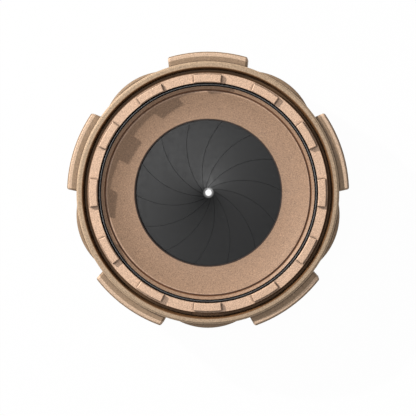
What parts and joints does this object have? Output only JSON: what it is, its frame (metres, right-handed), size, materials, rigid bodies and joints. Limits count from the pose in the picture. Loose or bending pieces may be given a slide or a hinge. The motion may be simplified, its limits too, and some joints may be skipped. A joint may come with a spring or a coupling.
{
  "type": "iris diaphragm",
  "caption": "Ring-driven iris diaphragm with thin overlapping leaves, a scalloped grip ring with lugs, a castellated retaining ring and a push-on rear socket.",
  "frame": {"origin": "centre of the rear face, on the optical axis", "axes": "+Z along the optical axis and out of the front, +Y through the middle of the top lug"},
  "size_m": [0.0444, 0.0435, 0.0123],
  "materials": {
    "anodised_bronze": "bead-blasted bronze anodising",
    "inner_black": "matt black anodising",
    "leaf_steel": "blackened spring steel",
    "stud_brass": "blackened brass",
    "rubber": "gloss black",
    "spring_steel": "bright",
    "screw_steel": "black oxide"
  },
  "bodies": {
    "housing": {"barrel": "anodised_bronze", "pivot_plate": "inner_black", "bezel": "anodised_bronze", "bezel_o_ring": "rubber", "castellated_ring": "anodised_bronze", "socket_o_ring": "rubber", "damping_o_ring": "rubber", "snap_ring": "spring_steel"},
    "grip": {"grip_ring": "anodised_bronze", "drive_ring": "inner_black", "drive_screws": "screw_steel", "click_ball": "spring_steel", "click_spring": "spring_steel", "click_screw": "screw_steel"},
    "leaf_01": {"leaf_01_blade": "leaf_steel", "leaf_01_studs": "stud_brass"},
    "leaf_02": {"leaf_02_blade": "leaf_steel", "leaf_02_studs": "stud_brass"},
    "leaf_03": {"leaf_03_blade": "leaf_steel", "leaf_03_studs": "stud_brass"},
    "leaf_04": {"leaf_04_blade": "leaf_steel", "leaf_04_studs": "stud_brass"},
    "leaf_05": {"leaf_05_blade": "leaf_steel", "leaf_05_studs": "stud_brass"},
    "leaf_06": {"leaf_06_blade": "leaf_steel", "leaf_06_studs": "stud_brass"},
    "leaf_07": {"leaf_07_blade": "leaf_steel", "leaf_07_studs": "stud_brass"},
    "leaf_08": {"leaf_08_blade": "leaf_steel", "leaf_08_studs": "stud_brass"},
    "leaf_09": {"leaf_09_blade": "leaf_steel", "leaf_09_studs": "stud_brass"},
    "leaf_10": {"leaf_10_blade": "leaf_steel", "leaf_10_studs": "stud_brass"},
    "leaf_11": {"leaf_11_blade": "leaf_steel", "leaf_11_studs": "stud_brass"},
    "leaf_12": {"leaf_12_blade": "leaf_steel", "leaf_12_studs": "stud_brass"},
    "leaf_13": {"leaf_13_blade": "leaf_steel", "leaf_13_studs": "stud_brass"},
    "leaf_14": {"leaf_14_blade": "leaf_steel", "leaf_14_studs": "stud_brass"}
  },
  "joints": [
    {"name": "grip_turn", "type": "hinge", "parent": "housing", "child": "grip", "pos_m": [0, 0, 0.009], "axis": [0, 0, 1], "range_deg": [0, 91.94]},
    {"name": "leaf_01_swing", "type": "hinge", "parent": "housing", "child": "leaf_01", "pos_m": [0.0142, 0.0003, 0.0068], "axis": [0, 0, 1], "range_deg": [0, 46.9]},
    {"name": "leaf_02_swing", "type": "hinge", "parent": "housing", "child": "leaf_02", "pos_m": [0.01266, 0.00643, 0.0068], "axis": [0, 0, 1], "range_deg": [0, 46.9]},
    {"name": "leaf_03_swing", "type": "hinge", "parent": "housing", "child": "leaf_03", "pos_m": [0.00862, 0.01128, 0.0068], "axis": [0, 0, 1], "range_deg": [0, 46.9]},
    {"name": "leaf_04_swing", "type": "hinge", "parent": "housing", "child": "leaf_04", "pos_m": [0.00287, 0.01391, 0.0068], "axis": [0, 0, 1], "range_deg": [0, 46.9]},
    {"name": "leaf_05_swing", "type": "hinge", "parent": "housing", "child": "leaf_05", "pos_m": [-0.00345, 0.01377, 0.0068], "axis": [0, 0, 1], "range_deg": [0, 46.9]},
    {"name": "leaf_06_swing", "type": "hinge", "parent": "housing", "child": "leaf_06", "pos_m": [-0.00908, 0.01091, 0.0068], "axis": [0, 0, 1], "range_deg": [0, 46.9]},
    {"name": "leaf_07_swing", "type": "hinge", "parent": "housing", "child": "leaf_07", "pos_m": [-0.01292, 0.00589, 0.0068], "axis": [0, 0, 1], "range_deg": [0, 46.9]},
    {"name": "leaf_08_swing", "type": "hinge", "parent": "housing", "child": "leaf_08", "pos_m": [-0.0142, -0.0003, 0.0068], "axis": [0, 0, 1], "range_deg": [0, 46.9]},
    {"name": "leaf_09_swing", "type": "hinge", "parent": "housing", "child": "leaf_09", "pos_m": [-0.01266, -0.00643, 0.0068], "axis": [0, 0, 1], "range_deg": [0, 46.9]},
    {"name": "leaf_10_swing", "type": "hinge", "parent": "housing", "child": "leaf_10", "pos_m": [-0.00862, -0.01128, 0.0068], "axis": [0, 0, 1], "range_deg": [0, 46.9]},
    {"name": "leaf_11_swing", "type": "hinge", "parent": "housing", "child": "leaf_11", "pos_m": [-0.00287, -0.01391, 0.0068], "axis": [0, 0, 1], "range_deg": [0, 46.9]},
    {"name": "leaf_12_swing", "type": "hinge", "parent": "housing", "child": "leaf_12", "pos_m": [0.00345, -0.01377, 0.0068], "axis": [0, 0, 1], "range_deg": [0, 46.9]},
    {"name": "leaf_13_swing", "type": "hinge", "parent": "housing", "child": "leaf_13", "pos_m": [0.00908, -0.01091, 0.0068], "axis": [0, 0, 1], "range_deg": [0, 46.9]},
    {"name": "leaf_14_swing", "type": "hinge", "parent": "housing", "child": "leaf_14", "pos_m": [0.01292, -0.00589, 0.0068], "axis": [0, 0, 1], "range_deg": [0, 46.9]}
  ],
  "couplings": [
    {"joint": "leaf_01_swing", "follows": "grip_turn", "ratio": 0.51},
    {"joint": "leaf_02_swing", "follows": "grip_turn", "ratio": 0.51},
    {"joint": "leaf_03_swing", "follows": "grip_turn", "ratio": 0.51},
    {"joint": "leaf_04_swing", "follows": "grip_turn", "ratio": 0.51},
    {"joint": "leaf_05_swing", "follows": "grip_turn", "ratio": 0.51},
    {"joint": "leaf_06_swing", "follows": "grip_turn", "ratio": 0.51},
    {"joint": "leaf_07_swing", "follows": "grip_turn", "ratio": 0.51},
    {"joint": "leaf_08_swing", "follows": "grip_turn", "ratio": 0.51},
    {"joint": "leaf_09_swing", "follows": "grip_turn", "ratio": 0.51},
    {"joint": "leaf_10_swing", "follows": "grip_turn", "ratio": 0.51},
    {"joint": "leaf_11_swing", "follows": "grip_turn", "ratio": 0.51},
    {"joint": "leaf_12_swing", "follows": "grip_turn", "ratio": 0.51},
    {"joint": "leaf_13_swing", "follows": "grip_turn", "ratio": 0.51},
    {"joint": "leaf_14_swing", "follows": "grip_turn", "ratio": 0.51}
  ]
}
